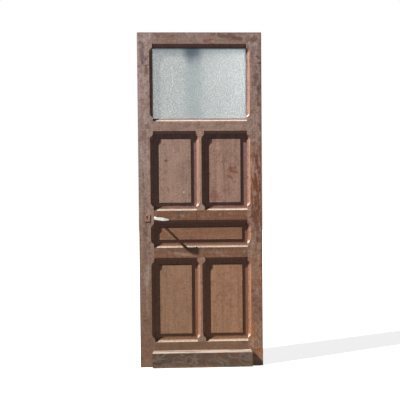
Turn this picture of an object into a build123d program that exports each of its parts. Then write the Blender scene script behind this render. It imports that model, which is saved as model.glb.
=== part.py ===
"""A panelled timber door leaf with a light of patterned glass over five raised panels.

Millimetres, +Z up. The front faces -Y, the lock edge is at -X and the hinge edge at +X. The origin is on
the hinge edge, at the foot of the door and the middle of its thickness.
"""

from build123d import *
import os

os.makedirs("parts", exist_ok=True)

# Leaf
DOOR_HEIGHT = 2030
DOOR_WIDTH = 750
DOOR_THICKNESS = 42

# Framing members, measured over their mouldings
STILE_WIDTH = 90
MUNTIN_WIDTH = 50
BOTTOM_RAIL_HEIGHT = 172
MIDDLE_RAIL_HEIGHT = 98
LOCK_RAIL_HEIGHT = 95
FRIEZE_RAIL_HEIGHT = 95
TOP_RAIL_HEIGHT = 87

# Panel openings between the rails, below the glass, which takes the height that is left
LOWER_PANEL_HEIGHT = 479
LOCK_PANEL_HEIGHT = 131
UPPER_PANEL_HEIGHT = 445

# Moulding stuck on the timber round each opening
MOULDING_WIDTH = 18
MOULDING_DEPTH = 13.5
MOULDING_FILLET = 1.5
MOULDING_BULGE = 3.3
STOP_CLEARANCE = 3
STOP_RADIUS = 24

# Joints of the frame
TENON_THICKNESS = 14
TENON_LENGTH = 58
TENON_SET_IN = 20
MUNTIN_TENON_LENGTH = 30
MORTISE_CLEARANCE = 1.5
TWIN_TENON_THICKNESS = 7
TWIN_TENON_OFFSET = 12.5

# Raised panels in their grooves
GROOVE_WIDTH = 9
GROOVE_DEPTH = 12
PANEL_PLAY = 0.2
PANEL_ENTRY = 10
FIELD_RISE = 5
FIELD_SIDE_MARGIN = 32
FIELD_END_MARGIN = 28
FIELD_BEVEL = 1.2
UPPER_RIGHT_FIELD_SHIFT = 7

# Glass, its rebate and its beads
GLASS_THICKNESS = 4
GLASS_CLEARANCE = 2
LIP_THICKNESS = 16.5
REBATE_WIDTH = 15
BEAD_ROUND = 10

# Weatherboard across the foot of the front
WEATHERBOARD_HEIGHT = 98
WEATHERBOARD_THICKNESS = 20
WEATHERBOARD_LENGTH = 608
WEATHERBOARD_LIFT = 4
WEATHERBOARD_SHIFT = 4
WEATHERBOARD_BEVEL = 10
WEATHERBOARD_CLIP = 9
DRIP_WIDTH = 5

# Mortise lock, its handle axis and keyhole on one level below the middle of the lock rail
LOCK_DROP = 13.5
SPINDLE_BACKSET = 100
KEYHOLE_BACKSET = 50
CASE_LENGTH = 125
CASE_THICKNESS = 14
CASE_RISE = 36
CASE_DROP = 20
CASE_CLEARANCE = 0.5
LOCK_WORKS_THICKNESS = 3
FOREND_HEIGHT = 120
FOREND_WIDTH = 20
FOREND_THICKNESS = 3
FOREND_CLEARANCE = 0.2
FOREND_SCREW_INSET = 8
LATCH_BOLT_HEIGHT = 16
LATCH_BOLT_RISE = 20
DEAD_BOLT_HEIGHT = 20
DEAD_BOLT_DROP = 4
BOLT_THICKNESS = 9
BOLT_LENGTH = 40
BOLT_CLEARANCE = 0.3

# Keyhole and its escutcheons
KEYHOLE_RADIUS = 6
KEYHOLE_SLOT = 6
KEYHOLE_HEIGHT = 23
ESCUTCHEON_WIDTH = 31
ESCUTCHEON_HEIGHT = 45
ESCUTCHEON_THICKNESS = 1.6
ESCUTCHEON_CORNER = 2.5
ESCUTCHEON_SHIFT = 2

# Lever handles and their spindle
SPINDLE_SIZE = 8
SPINDLE_CLEARANCE = 0.1
SPINDLE_BORE_RADIUS = 6.2
SPINDLE_ENTRY = 26
NECK_RADIUS = 7
NECK_CLEARANCE = 0.6
NECK_END_CLEARANCE = 1.5
LEVER_REACH = 52
LEVER_LENGTH = 86
LEVER_THICKNESS = 10
LEVER_ROOT_HEIGHT = 16
LEVER_GRIP_HEIGHT = 20
LEVER_GRIP_PLACE = 48
LEVER_TIP_HEIGHT = 10
LEVER_CURL = 7
LEVER_CURL_LENGTH = 26
LEVER_BEND_RADIUS = 8
LEVER_DROOP = 7

# Lift-off hinges on the hinge edge
HINGE_END_INSET = 155
HINGE_LEAF_HEIGHT = 90
HINGE_LEAF_WIDTH = 30
HINGE_LEAF_THICKNESS = 2.5
KNUCKLE_HEIGHT = 45
KNUCKLE_RADIUS = 7
HINGE_GAP = 1.5
PIN_BORE_RADIUS = 4
HINGE_SCREW_SPACING = 30

# Countersunk screws of the lock's forend and of the hinges
SCREW_RADIUS = 2.1
SCREW_HEAD_RADIUS = 3.8

# How far a cutting shape runs past the timber that it cuts
OVERRUN = 2

# Faces and edges of the leaf
FRONT = -DOOR_THICKNESS / 2
BACK = DOOR_THICKNESS / 2
LOCK_EDGE = -DOOR_WIDTH
LEFT = LOCK_EDGE + STILE_WIDTH
RIGHT = -STILE_WIDTH
CENTRE = (LEFT + RIGHT) / 2
MUNTIN_LEFT = CENTRE - MUNTIN_WIDTH / 2
MUNTIN_RIGHT = CENTRE + MUNTIN_WIDTH / 2

# Levels of the rails, from the foot upwards
BOTTOM_RAIL = (0, BOTTOM_RAIL_HEIGHT)
LOWER_PANELS = (BOTTOM_RAIL[1], BOTTOM_RAIL[1] + LOWER_PANEL_HEIGHT)
MIDDLE_RAIL = (LOWER_PANELS[1], LOWER_PANELS[1] + MIDDLE_RAIL_HEIGHT)
LOCK_PANEL = (MIDDLE_RAIL[1], MIDDLE_RAIL[1] + LOCK_PANEL_HEIGHT)
LOCK_RAIL = (LOCK_PANEL[1], LOCK_PANEL[1] + LOCK_RAIL_HEIGHT)
UPPER_PANELS = (LOCK_RAIL[1], LOCK_RAIL[1] + UPPER_PANEL_HEIGHT)
FRIEZE_RAIL = (UPPER_PANELS[1], UPPER_PANELS[1] + FRIEZE_RAIL_HEIGHT)
TOP_RAIL = (DOOR_HEIGHT - TOP_RAIL_HEIGHT, DOOR_HEIGHT)
LIGHT = (FRIEZE_RAIL[1], TOP_RAIL[0])

RAILS = (BOTTOM_RAIL, MIDDLE_RAIL, LOCK_RAIL, FRIEZE_RAIL, TOP_RAIL)
PANEL_ROWS = (LOWER_PANELS, LOCK_PANEL, UPPER_PANELS)

# Places of the lock
LOCK_HEIGHT = (LOCK_RAIL[0] + LOCK_RAIL[1]) / 2 - LOCK_DROP
SPINDLE_X = LOCK_EDGE + SPINDLE_BACKSET
KEYHOLE_X = LOCK_EDGE + KEYHOLE_BACKSET
CASE_END = LOCK_EDGE + CASE_LENGTH
CASE_HEIGHT = CASE_RISE + CASE_DROP
CASE_MIDDLE = LOCK_HEIGHT + (CASE_RISE - CASE_DROP) / 2
CASE_FACE = CASE_THICKNESS / 2


def write(part, name):
    part.label = name
    export_step(part, f"parts/{name}.step")


def middle(span):
    return (span[0] + span[1]) / 2


def length(span):
    return span[1] - span[0]


# Rails

def draw_edge(kind, edge, out):
    """One edge of a rail's section, from the front face to the back. out is 1 at the upper edge, -1 below."""

    def at(y, inset):
        return (y, edge - out * inset)

    def draw_moulding(face, into):
        arris = at(face, MOULDING_WIDTH)
        quirk = at(face + into * MOULDING_FILLET, MOULDING_WIDTH)
        foot = at(face + into * MOULDING_DEPTH, 0)
        Line(arris, quirk)
        SagittaArc(quirk, foot, -out * into * MOULDING_BULGE)
        return foot

    if kind == "plain":
        Line(at(FRONT, 0), at(BACK, 0))
        return
    front_foot = draw_moulding(FRONT, 1)
    if kind == "glass":
        lip = FRONT + LIP_THICKNESS
        Polyline(front_foot, at(lip, 0), at(lip, REBATE_WIDTH), at(BACK, REBATE_WIDTH))
        return
    back_foot = draw_moulding(BACK, -1)
    half = GROOVE_WIDTH / 2
    Polyline(front_foot, at(-half, 0), at(-half, GROOVE_DEPTH), at(half, GROOVE_DEPTH), at(half, 0), back_foot)


def insets(kind):
    """How far the front and back arrises lie inside the timber edge."""
    return {"plain": (0, 0), "panel": (MOULDING_WIDTH, MOULDING_WIDTH), "glass": (MOULDING_WIDTH, REBATE_WIDTH)}[kind]


def make_rail(span, lower, upper, muntin_below=False, muntin_above=False):
    """A rail with its mouldings run from shoulder to shoulder and a stub tenon at each end."""
    bottom, top = span
    lower_front, lower_back = insets(lower)
    upper_front, upper_back = insets(upper)
    tenon_height = length(span) - 2 * TENON_SET_IN
    with BuildPart() as rail:
        with BuildSketch(Plane.YZ.offset(LEFT)):
            with BuildLine():
                draw_edge(lower, bottom, -1)
                draw_edge(upper, top, 1)
                Line((FRONT, bottom + lower_front), (FRONT, top - upper_front))
                Line((BACK, bottom + lower_back), (BACK, top - upper_back))
            make_face()
        extrude(amount=RIGHT - LEFT)
        with BuildSketch(Plane.YZ.offset(LEFT - TENON_LENGTH)):
            with Locations((0, middle(span))):
                Rectangle(TENON_THICKNESS, tenon_height)
        extrude(amount=RIGHT - LEFT + 2 * TENON_LENGTH)
        # A muntin stands in a seat cut through the moulding, with its tenon in a mortise beyond
        for has_muntin, edge in ((muntin_below, bottom), (muntin_above, top)):
            if has_muntin:
                with Locations((CENTRE, 0, edge)):
                    Box(MUNTIN_WIDTH, DOOR_THICKNESS, 2 * MOULDING_WIDTH, mode=Mode.SUBTRACT)
                    Box(
                        MUNTIN_WIDTH - 2 * GROOVE_DEPTH,
                        TENON_THICKNESS,
                        2 * (MOULDING_WIDTH + MUNTIN_TENON_LENGTH + MORTISE_CLEARANCE),
                        mode=Mode.SUBTRACT,
                    )
    return rail.part


with BuildPart() as bottom_rail:
    add(make_rail(BOTTOM_RAIL, "plain", "panel", muntin_above=True))
write(bottom_rail.part, "bottom_rail")

with BuildPart() as middle_rail:
    add(make_rail(MIDDLE_RAIL, "panel", "panel", muntin_below=True))
write(middle_rail.part, "middle_rail")

with BuildPart() as frieze_rail:
    add(make_rail(FRIEZE_RAIL, "panel", "glass", muntin_below=True))
write(frieze_rail.part, "frieze_rail")

with BuildPart() as top_rail:
    add(make_rail(TOP_RAIL, "glass", "plain"))
write(top_rail.part, "top_rail")

def draw_keyhole():
    """A keyhole's outline in a sketch: a round head over a straight slot, centred on the lock's level."""
    top = LOCK_HEIGHT + KEYHOLE_HEIGHT / 2
    with Locations((KEYHOLE_X, top - KEYHOLE_RADIUS)):
        Circle(KEYHOLE_RADIUS)
        Rectangle(KEYHOLE_SLOT, KEYHOLE_HEIGHT - KEYHOLE_RADIUS, align=(Align.CENTER, Align.MAX))


# The lock rail has twin tenons on its lock side, one on each side of the lock's mortise
with BuildPart() as lock_rail:
    add(make_rail(LOCK_RAIL, "panel", "panel", muntin_above=True))
    tenon_height = LOCK_RAIL_HEIGHT - 2 * TENON_SET_IN
    with Locations((LEFT - TENON_LENGTH / 2, 0, middle(LOCK_RAIL))):
        Box(TENON_LENGTH, TENON_THICKNESS, tenon_height, mode=Mode.SUBTRACT)
    for y in (-TWIN_TENON_OFFSET, TWIN_TENON_OFFSET):
        with Locations((LEFT - TENON_LENGTH / 2, y, middle(LOCK_RAIL))):
            Box(TENON_LENGTH, TWIN_TENON_THICKNESS, tenon_height)
    with Locations((LEFT, 0, CASE_MIDDLE)):
        Box(
            2 * (CASE_END + MORTISE_CLEARANCE - LEFT),
            CASE_THICKNESS + 2 * CASE_CLEARANCE,
            CASE_HEIGHT + 2 * CASE_CLEARANCE,
            mode=Mode.SUBTRACT,
        )
    with BuildSketch(Plane.XZ.offset(-BACK)):
        with Locations((SPINDLE_X, LOCK_HEIGHT)):
            Circle(NECK_RADIUS + NECK_CLEARANCE)
        draw_keyhole()
    extrude(amount=DOOR_THICKNESS, mode=Mode.SUBTRACT)
write(lock_rail.part, "lock_rail")


# Stiles and muntins

def stopped_moulding(edge, side, span, face):
    """What a moulding cutter takes off one arris of an upright: it leaves the timber short of each rail.

    side is 1 where the opening lies to the right of the edge, and -1 where it lies to the left.
    """
    into = 1 if face == FRONT else -1
    hand = side * into
    arris = edge - side * MOULDING_WIDTH
    outside = edge + side * OVERRUN
    low = span[0] + STOP_CLEARANCE
    high = span[1] - STOP_CLEARANCE
    with BuildPart() as waste:
        with BuildLine(Plane.XZ.offset(-face)) as run:
            FilletPolyline(
                (outside, low - OVERRUN),
                (arris, low + MOULDING_WIDTH),
                (arris, high - MOULDING_WIDTH),
                (outside, high + OVERRUN),
                radius=STOP_RADIUS,
            )
        start = Plane(origin=run.line @ 0, x_dir=(side, 0, 1), z_dir=run.line % 0)
        with BuildSketch(start):
            with BuildLine():
                quirk = (0, hand * MOULDING_FILLET)
                foot = (MOULDING_WIDTH, hand * MOULDING_DEPTH)
                SagittaArc(quirk, foot, hand * MOULDING_BULGE)
                Polyline(
                    foot,
                    (MOULDING_WIDTH + OVERRUN, hand * MOULDING_DEPTH),
                    (MOULDING_WIDTH + OVERRUN, -hand * OVERRUN),
                    (0, -hand * OVERRUN),
                    quirk,
                )
            make_face()
        sweep()
    return waste.part


def make_stile(outer, inner):
    """A stile from its outer edge to the edge along the openings, mortised, grooved and rebated."""
    side = 1 if inner > outer else -1
    with BuildPart() as stile:
        with BuildSketch(Plane.XY):
            with Locations(((outer + inner) / 2, 0)):
                Rectangle(STILE_WIDTH, DOOR_THICKNESS)
        extrude(amount=DOOR_HEIGHT)
        for rail in RAILS:
            with Locations((inner, 0, middle(rail))):
                Box(
                    2 * (TENON_LENGTH + MORTISE_CLEARANCE),
                    TENON_THICKNESS,
                    length(rail) - 2 * TENON_SET_IN,
                    mode=Mode.SUBTRACT,
                )
        for row in PANEL_ROWS:
            with Locations((inner, 0, middle(row))):
                Box(2 * GROOVE_DEPTH, GROOVE_WIDTH, length(row) + 2 * GROOVE_DEPTH, mode=Mode.SUBTRACT)
            add(stopped_moulding(inner, side, row, FRONT), mode=Mode.SUBTRACT)
            add(stopped_moulding(inner, side, row, BACK), mode=Mode.SUBTRACT)
        with Locations((inner, FRONT + LIP_THICKNESS, middle(LIGHT))):
            Box(
                2 * REBATE_WIDTH,
                DOOR_THICKNESS - LIP_THICKNESS,
                length(LIGHT) + 2 * REBATE_WIDTH,
                align=(Align.CENTER, Align.MIN, Align.CENTER),
                mode=Mode.SUBTRACT,
            )
        add(stopped_moulding(inner, side, LIGHT, FRONT), mode=Mode.SUBTRACT)
    return stile.part


def make_muntin(row):
    """A muntin between two rails, grooved on both edges, with a stub tenon at each end."""
    shoulders = (row[0] - MOULDING_WIDTH, row[1] + MOULDING_WIDTH)
    with BuildPart() as muntin:
        with BuildSketch(Plane.XY.offset(shoulders[0])):
            with Locations((CENTRE, 0)):
                Rectangle(MUNTIN_WIDTH, DOOR_THICKNESS)
            with Locations((MUNTIN_LEFT, 0), (MUNTIN_RIGHT, 0)):
                Rectangle(2 * GROOVE_DEPTH, GROOVE_WIDTH, mode=Mode.SUBTRACT)
        extrude(amount=length(shoulders))
        with Locations((CENTRE, 0, middle(shoulders))):
            Box(
                MUNTIN_WIDTH - 2 * GROOVE_DEPTH,
                TENON_THICKNESS,
                length(shoulders) + 2 * MUNTIN_TENON_LENGTH,
            )
        for edge, side in ((MUNTIN_LEFT, -1), (MUNTIN_RIGHT, 1)):
            add(stopped_moulding(edge, side, row, FRONT), mode=Mode.SUBTRACT)
            add(stopped_moulding(edge, side, row, BACK), mode=Mode.SUBTRACT)
    return muntin.part


with BuildPart() as lock_stile:
    add(make_stile(LOCK_EDGE, LEFT))
    # Twin mortises for the lock rail, on each side of the mortise that takes the lock case
    for y in (-TWIN_TENON_OFFSET, TWIN_TENON_OFFSET):
        with Locations((LEFT, y, middle(LOCK_RAIL))):
            Box(
                2 * (TENON_LENGTH + MORTISE_CLEARANCE),
                TWIN_TENON_THICKNESS,
                LOCK_RAIL_HEIGHT - 2 * TENON_SET_IN,
                mode=Mode.SUBTRACT,
            )
    with Locations(((LOCK_EDGE + LEFT) / 2, 0, CASE_MIDDLE)):
        Box(
            STILE_WIDTH,
            CASE_THICKNESS + 2 * CASE_CLEARANCE,
            CASE_HEIGHT + 2 * CASE_CLEARANCE,
            mode=Mode.SUBTRACT,
        )
    with Locations((LOCK_EDGE, 0, CASE_MIDDLE)):
        Box(
            2 * FOREND_THICKNESS,
            FOREND_WIDTH + 2 * FOREND_CLEARANCE,
            FOREND_HEIGHT + 2 * FOREND_CLEARANCE,
            mode=Mode.SUBTRACT,
        )
    with BuildSketch(Plane.XZ.offset(-BACK)):
        draw_keyhole()
    extrude(amount=DOOR_THICKNESS, mode=Mode.SUBTRACT)
write(lock_stile.part, "lock_stile")

HINGE_CENTRES = (HINGE_END_INSET, DOOR_HEIGHT / 2, DOOR_HEIGHT - HINGE_END_INSET)

with BuildPart() as hinge_stile:
    add(make_stile(0, RIGHT))
    # Hinge leaves are let into the edge, flush with it and open towards the back
    with Locations(*[(0, BACK, height) for height in HINGE_CENTRES]):
        Box(2 * HINGE_LEAF_THICKNESS, 2 * HINGE_LEAF_WIDTH, HINGE_LEAF_HEIGHT, mode=Mode.SUBTRACT)
write(hinge_stile.part, "hinge_stile")

with BuildPart() as lower_muntin:
    add(make_muntin(LOWER_PANELS))
write(lower_muntin.part, "lower_muntin")

with BuildPart() as upper_muntin:
    add(make_muntin(UPPER_PANELS))
write(upper_muntin.part, "upper_muntin")


# Raised panels

def make_panel(left, right, span, field_shift):
    """A panel held in the grooves all round, with its field raised on both faces."""
    centre = ((left + right) / 2, middle(span))
    field_centre = (centre[0] - field_shift, centre[1])
    edge_thickness = GROOVE_WIDTH - 2 * PANEL_PLAY
    field_thickness = edge_thickness + 2 * FIELD_RISE
    with BuildPart() as panel:
        with BuildSketch(Plane.XZ):
            with Locations(centre):
                Rectangle(right - left + 2 * PANEL_ENTRY, length(span) + 2 * PANEL_ENTRY)
        extrude(amount=edge_thickness / 2, both=True)
        with BuildSketch(Plane.XZ):
            with Locations(field_centre):
                Rectangle(right - left - 2 * FIELD_SIDE_MARGIN, length(span) - 2 * FIELD_END_MARGIN)
        extrude(amount=field_thickness / 2, both=True)
        faces = panel.faces().filter_by(Axis.Y)
        front_field = faces.sort_by(Axis.Y)[0]
        back_field = faces.sort_by(Axis.Y)[-1]
        chamfer(front_field.edges() + back_field.edges(), FIELD_BEVEL)
    return panel.part


for name, left, right, row, field_shift in (
    ("lower_left_panel", LEFT, MUNTIN_LEFT, LOWER_PANELS, 0),
    ("lower_right_panel", MUNTIN_RIGHT, RIGHT, LOWER_PANELS, 0),
    ("upper_left_panel", LEFT, MUNTIN_LEFT, UPPER_PANELS, 0),
    ("upper_right_panel", MUNTIN_RIGHT, RIGHT, UPPER_PANELS, UPPER_RIGHT_FIELD_SHIFT),
    ("lock_panel", LEFT, RIGHT, LOCK_PANEL, 0),
):
    write(make_panel(left, right, row, field_shift), name)


# Glass and the beads behind it

GLASS_BACK = FRONT + LIP_THICKNESS + GLASS_THICKNESS

with BuildPart() as glass_pane:
    with Locations((CENTRE, FRONT + LIP_THICKNESS, middle(LIGHT))):
        Box(
            RIGHT - LEFT + 2 * (REBATE_WIDTH - GLASS_CLEARANCE),
            GLASS_THICKNESS,
            length(LIGHT) + 2 * (REBATE_WIDTH - GLASS_CLEARANCE),
            align=(Align.CENTER, Align.MIN, Align.CENTER),
        )
write(glass_pane.part, "glass_pane")


def make_bead(run):
    """A glazing bead mitred at both ends, lying along a run of the rebate and rounded on its open arris."""
    half = run / 2 + REBATE_WIDTH
    with BuildPart() as bead:
        with BuildSketch(Plane.XZ.offset(-BACK)):
            Polygon(
                (-half, REBATE_WIDTH),
                (half, REBATE_WIDTH),
                (half - REBATE_WIDTH, 0),
                (REBATE_WIDTH - half, 0),
                align=None,
            )
        extrude(amount=BACK - GLASS_BACK)
        open_arris = bead.edges().filter_by(Axis.X).filter_by_position(Axis.Z, 0, 0).sort_by(Axis.Y)[-1]
        fillet(open_arris, BEAD_ROUND)
    return bead.part


LIGHT_CENTRE = (CENTRE, 0, middle(LIGHT))
for name, run, drop, turn in (
    ("glazing_bead_top", RIGHT - LEFT, length(LIGHT), 0),
    ("glazing_bead_left", length(LIGHT), RIGHT - LEFT, -90),
    ("glazing_bead_bottom", RIGHT - LEFT, length(LIGHT), 180),
    ("glazing_bead_right", length(LIGHT), RIGHT - LEFT, 90),
):
    bead = make_bead(run)
    placed = Pos(*LIGHT_CENTRE) * Rot(0, turn, 0) * Pos(0, 0, drop / 2) * bead
    write(placed, name)


# Weatherboard

with BuildPart() as weatherboard:
    board_front = FRONT - WEATHERBOARD_THICKNESS
    board_top = WEATHERBOARD_LIFT + WEATHERBOARD_HEIGHT
    board_start = CENTRE + WEATHERBOARD_SHIFT - WEATHERBOARD_LENGTH / 2
    with BuildSketch(Plane.YZ.offset(board_start)):
        Polygon(
            (FRONT, WEATHERBOARD_LIFT),
            (FRONT, board_top),
            (board_front, board_top - WEATHERBOARD_BEVEL),
            (board_front, WEATHERBOARD_LIFT),
            align=None,
        )
        with Locations((board_front + 2 * DRIP_WIDTH, WEATHERBOARD_LIFT)):
            Circle(DRIP_WIDTH / 2, mode=Mode.SUBTRACT)
    extrude(amount=WEATHERBOARD_LENGTH)
    with BuildSketch(Plane.XZ.offset(-FRONT)):
        for end, inwards in ((board_start, 1), (board_start + WEATHERBOARD_LENGTH, -1)):
            with BuildLine():
                Polyline(
                    (end, board_top - WEATHERBOARD_BEVEL),
                    (end, board_top),
                    (end + inwards * WEATHERBOARD_CLIP, board_top),
                    close=True,
                )
            make_face()
    extrude(amount=WEATHERBOARD_THICKNESS, mode=Mode.SUBTRACT)
write(weatherboard.part, "weatherboard")


# Lock case, forend and bolts, drawn back flush

BOLTS = (
    ("latch_bolt", LOCK_HEIGHT + LATCH_BOLT_RISE, LATCH_BOLT_HEIGHT),
    ("dead_bolt", LOCK_HEIGHT - DEAD_BOLT_DROP, DEAD_BOLT_HEIGHT),
)

with BuildPart() as lock_forend:
    with Locations((LOCK_EDGE, 0, CASE_MIDDLE)):
        Box(
            FOREND_THICKNESS,
            FOREND_WIDTH,
            FOREND_HEIGHT,
            align=(Align.MIN, Align.CENTER, Align.CENTER),
        )
    for _, level, depth in BOLTS:
        with Locations((LOCK_EDGE, 0, level)):
            Box(
                2 * FOREND_THICKNESS,
                BOLT_THICKNESS + 2 * BOLT_CLEARANCE,
                depth + 2 * BOLT_CLEARANCE,
                mode=Mode.SUBTRACT,
            )
    for way in (-1, 1):
        screw_level = CASE_MIDDLE + way * (FOREND_HEIGHT / 2 - FOREND_SCREW_INSET)
        with Locations(Plane((LOCK_EDGE, 0, screw_level), z_dir=(-1, 0, 0))):
            CounterSinkHole(SCREW_RADIUS, SCREW_HEAD_RADIUS, FOREND_THICKNESS)
write(lock_forend.part, "lock_forend")

with BuildPart() as lock_case:
    with Locations((LOCK_EDGE + FOREND_THICKNESS, 0, CASE_MIDDLE)):
        Box(
            CASE_LENGTH - FOREND_THICKNESS,
            CASE_THICKNESS,
            CASE_HEIGHT,
            align=(Align.MIN, Align.CENTER, Align.CENTER),
        )
    for _, level, depth in BOLTS:
        with Locations((LOCK_EDGE, 0, level)):
            Box(
                2 * (BOLT_LENGTH + MORTISE_CLEARANCE),
                BOLT_THICKNESS + 2 * BOLT_CLEARANCE,
                depth + 2 * BOLT_CLEARANCE,
                mode=Mode.SUBTRACT,
            )
    with BuildSketch(Plane.XZ.offset(-CASE_FACE)):
        with Locations((SPINDLE_X, LOCK_HEIGHT)):
            Circle(SPINDLE_BORE_RADIUS)
    extrude(amount=CASE_THICKNESS, mode=Mode.SUBTRACT)
    # A keyway opens on each face of the case and ends at the works in its middle
    for keyway_back in (CASE_FACE, -LOCK_WORKS_THICKNESS / 2):
        with BuildSketch(Plane.XZ.offset(-keyway_back)):
            draw_keyhole()
        extrude(amount=(CASE_THICKNESS - LOCK_WORKS_THICKNESS) / 2, mode=Mode.SUBTRACT)
write(lock_case.part, "lock_case")

for name, level, depth in BOLTS:
    with BuildPart() as bolt:
        with Locations((LOCK_EDGE, 0, level)):
            Box(BOLT_LENGTH, BOLT_THICKNESS, depth, align=(Align.MIN, Align.CENTER, Align.CENTER))
    write(bolt.part, name)


# Keyhole escutcheons

for name, face in (("front_escutcheon", FRONT - ESCUTCHEON_THICKNESS), ("back_escutcheon", BACK)):
    with BuildPart() as escutcheon:
        with BuildSketch(Plane.XZ.offset(-face - ESCUTCHEON_THICKNESS)):
            with Locations((KEYHOLE_X + ESCUTCHEON_SHIFT, LOCK_HEIGHT)):
                RectangleRounded(ESCUTCHEON_WIDTH, ESCUTCHEON_HEIGHT, ESCUTCHEON_CORNER)
        extrude(amount=ESCUTCHEON_THICKNESS)
        with BuildSketch(Plane.XZ.offset(-face - ESCUTCHEON_THICKNESS)):
            draw_keyhole()
        extrude(amount=ESCUTCHEON_THICKNESS, mode=Mode.SUBTRACT)
    write(escutcheon.part, name)


# Lever handles and spindle

NECK_END = FRONT + (BACK - CASE_FACE) - NECK_END_CLEARANCE
SPINDLE_END = NECK_END - SPINDLE_ENTRY
SPINDLE_PLACE = Pos(SPINDLE_X, 0, LOCK_HEIGHT) * Rot(0, LEVER_DROOP, 0)


def make_lever():
    """The front lever about its own axis: a neck bent into a flat grip that curls back at its tip."""
    outer_face = FRONT - LEVER_REACH
    inner_face = outer_face + LEVER_THICKNESS
    turn = NECK_RADIUS + LEVER_BEND_RADIUS
    outer_bend = NECK_RADIUS + turn
    neck_start = outer_face + outer_bend
    curl_start = LEVER_LENGTH - LEVER_CURL_LENGTH
    with BuildPart() as lever:
        # The grip is the shape that it has from above, cut to the shape that it has from the front
        with BuildSketch(Plane.XY):
            with BuildLine():
                outside = Line((turn, outer_face), (curl_start, outer_face))
                inside = Line((turn, inner_face), (curl_start, inner_face))
                bend_foot = (NECK_RADIUS, inner_face + LEVER_BEND_RADIUS)
                RadiusArc((-NECK_RADIUS, neck_start), outside @ 0, -outer_bend)
                RadiusArc(bend_foot, inside @ 0, -LEVER_BEND_RADIUS)
                outer_curl = TangentArc(
                    outside @ 1,
                    (LEVER_LENGTH + OVERRUN, outer_face + LEVER_CURL),
                    tangent=outside % 1,
                )
                inner_curl = TangentArc(
                    inside @ 1,
                    (LEVER_LENGTH + OVERRUN, inner_face + LEVER_CURL),
                    tangent=inside % 1,
                )
                Line(outer_curl @ 1, inner_curl @ 1)
                Polyline(bend_foot, (NECK_RADIUS, neck_start), (-NECK_RADIUS, neck_start))
            make_face()
        extrude(amount=LEVER_GRIP_HEIGHT, both=True)
        with BuildSketch(Plane.XZ.offset(-neck_start)):
            Circle(LEVER_ROOT_HEIGHT / 2)
            with Locations((LEVER_GRIP_PLACE, 0)):
                Circle(LEVER_GRIP_HEIGHT / 2)
            with Locations((LEVER_LENGTH - LEVER_TIP_HEIGHT / 2, 0)):
                Circle(LEVER_TIP_HEIGHT / 2)
            make_hull()
        extrude(amount=LEVER_REACH, mode=Mode.INTERSECT)
        with BuildSketch(Plane.XZ.offset(-neck_start)):
            Circle(NECK_RADIUS)
        extrude(amount=neck_start - NECK_END)
        socket = SPINDLE_SIZE + 2 * SPINDLE_CLEARANCE
        with Locations((0, NECK_END, 0)):
            Box(socket, 2 * (SPINDLE_ENTRY + SPINDLE_CLEARANCE), socket, mode=Mode.SUBTRACT)
    return lever.part


lever = make_lever()
write(SPINDLE_PLACE * lever, "front_lever")
write(SPINDLE_PLACE * mirror(lever, about=Plane.XZ), "back_lever")

with BuildPart() as spindle:
    Box(SPINDLE_SIZE, -2 * SPINDLE_END, SPINDLE_SIZE)
write(SPINDLE_PLACE * spindle.part, "spindle")


# Door halves of the lift-off hinges

def make_hinge(height):
    """A leaf flush in the hinge edge and an open knuckle behind the door, lifted on to the frame half's pin."""
    knuckle_bottom = height + HINGE_LEAF_HEIGHT / 2 - KNUCKLE_HEIGHT
    knuckle_y = BACK + KNUCKLE_RADIUS
    with BuildPart() as hinge:
        with Locations((0, BACK, height)):
            Box(
                HINGE_LEAF_THICKNESS,
                HINGE_LEAF_WIDTH,
                HINGE_LEAF_HEIGHT,
                align=(Align.MAX, Align.MAX, Align.CENTER),
            )
        with BuildSketch(Plane.XY.offset(knuckle_bottom)):
            with Locations((HINGE_GAP, knuckle_y)):
                Circle(KNUCKLE_RADIUS)
            with Locations((0, BACK)):
                Rectangle(HINGE_LEAF_THICKNESS, KNUCKLE_RADIUS, align=(Align.MAX, Align.MIN))
        extrude(amount=KNUCKLE_HEIGHT)
        with BuildSketch(Plane.XY.offset(knuckle_bottom)):
            with Locations((HINGE_GAP, knuckle_y)):
                Circle(PIN_BORE_RADIUS)
        extrude(amount=KNUCKLE_HEIGHT, mode=Mode.SUBTRACT)
        for way in (-1, 0, 1):
            screw_place = (0, BACK - HINGE_LEAF_WIDTH / 2, height + way * HINGE_SCREW_SPACING)
            with Locations(Plane(screw_place, z_dir=(1, 0, 0))):
                CounterSinkHole(SCREW_RADIUS, SCREW_HEAD_RADIUS, HINGE_LEAF_THICKNESS)
    return hinge.part


for name, height in zip(("lower_hinge", "middle_hinge", "upper_hinge"), HINGE_CENTRES):
    write(make_hinge(height), name)
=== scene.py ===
"""The visual model of a weathered timber door leaf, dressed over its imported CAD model."""

import math

import bpy
from mathutils import Matrix, Vector


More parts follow.
